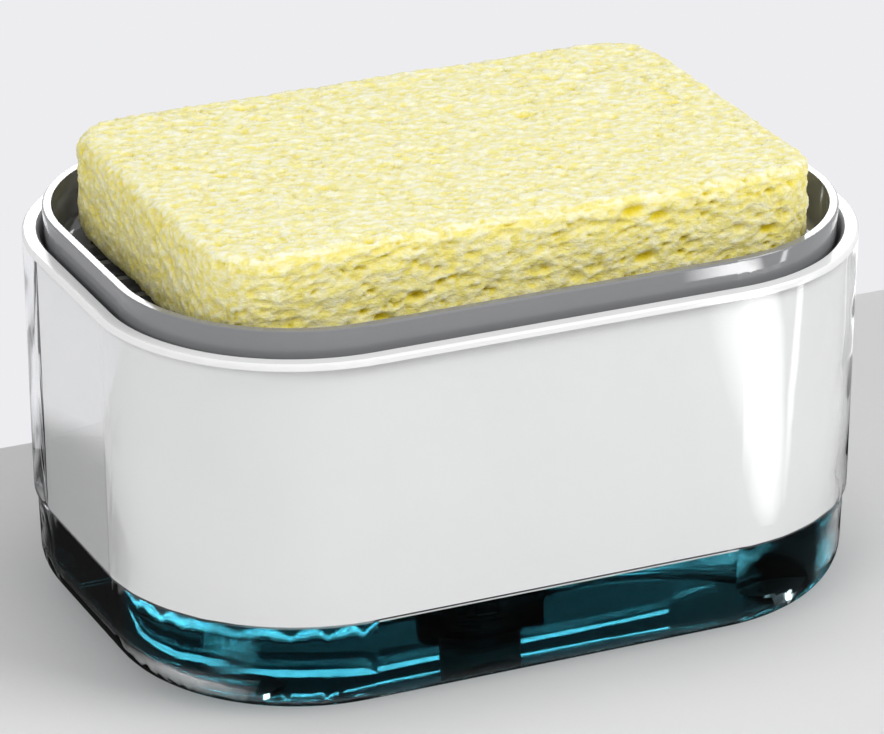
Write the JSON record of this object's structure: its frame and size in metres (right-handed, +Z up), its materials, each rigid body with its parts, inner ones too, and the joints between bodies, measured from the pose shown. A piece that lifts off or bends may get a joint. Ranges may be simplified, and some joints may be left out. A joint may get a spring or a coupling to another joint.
{
  "type": "soap pump caddy",
  "caption": "Countertop dish-soap caddy: a clear reservoir under a white pump housing, with a spring-return press tray that wets the sponge lying on it.",
  "frame": {"origin": "on the counter, under the middle of the body, at the bottom of the anti-slip pads", "axes": "+X along the width, to the right seen from the front; front towards -Y; +Z up, the way the sponge lifts off"},
  "size_m": [0.14, 0.102, 0.0812],
  "materials": {
    "clear_reservoir": "polished clear moulded plastic",
    "pad_silicone": "matt translucent silicone",
    "white_housing": "gloss moulded",
    "white_pump": "satin moulded",
    "grey_seal": "matt",
    "natural_pump": "milky natural polypropylene",
    "clear_foot": "polished",
    "valve_ball": "polished stainless steel",
    "spring_wire": "drawn stainless wire",
    "piston_seal": "soft polyethylene",
    "grey_tray": "gloss moulded",
    "sponge_cellulose": "porous cellulose sponge"
  },
  "bodies": {
    "base": {"reservoir": "clear_reservoir", "anti_slip_pads": "pad_silicone"},
    "upper_unit": {"housing": "white_housing", "pump_collar": "white_pump", "collar_gasket": "grey_seal", "pump_cylinder": "natural_pump", "cylinder_cap": "white_pump", "dip_tube": "natural_pump", "suction_foot": "clear_foot", "ball_cage": "white_pump", "pump_spring": "spring_wire"},
    "inlet_valve": {"inlet_ball": "valve_ball"},
    "plunger": {"stem": "white_pump", "piston": "piston_seal", "stem_plug": "white_pump", "pump_head": "white_pump", "head_seal": "grey_seal", "nozzle_cap": "white_pump"},
    "outlet_valve": {"outlet_ball": "valve_ball"},
    "tray": {"press_tray": "grey_tray"},
    "sponge_block": {"sponge": "sponge_cellulose"}
  },
  "joints": [
    {"name": "refill_lift", "type": "slide", "parent": "base", "child": "upper_unit", "axis": [0, 0, 1], "range_m": [0, 0.07]},
    {"name": "tray_press", "type": "slide", "parent": "upper_unit", "child": "plunger", "axis": [0, 0, 1], "range_m": [-0.008, 0], "stiffness_N_per_m": 900, "springref_m": 0.009, "deforming": ["pump_spring"]},
    {"name": "inlet_valve_lift", "type": "slide", "parent": "upper_unit", "child": "inlet_valve", "axis": [0, 0, 1], "range_m": [0, 0.0007]},
    {"name": "outlet_valve_lift", "type": "slide", "parent": "plunger", "child": "outlet_valve", "axis": [0, 0, 1], "range_m": [0, 0.0007]},
    {"name": "tray_lift", "type": "slide", "parent": "plunger", "child": "tray", "axis": [0, 0, 1], "range_m": [0, 0.03]},
    {"name": "sponge_lift", "type": "slide", "parent": "tray", "child": "sponge_block", "axis": [0, 0, 1], "range_m": [0, 0.03]}
  ]
}
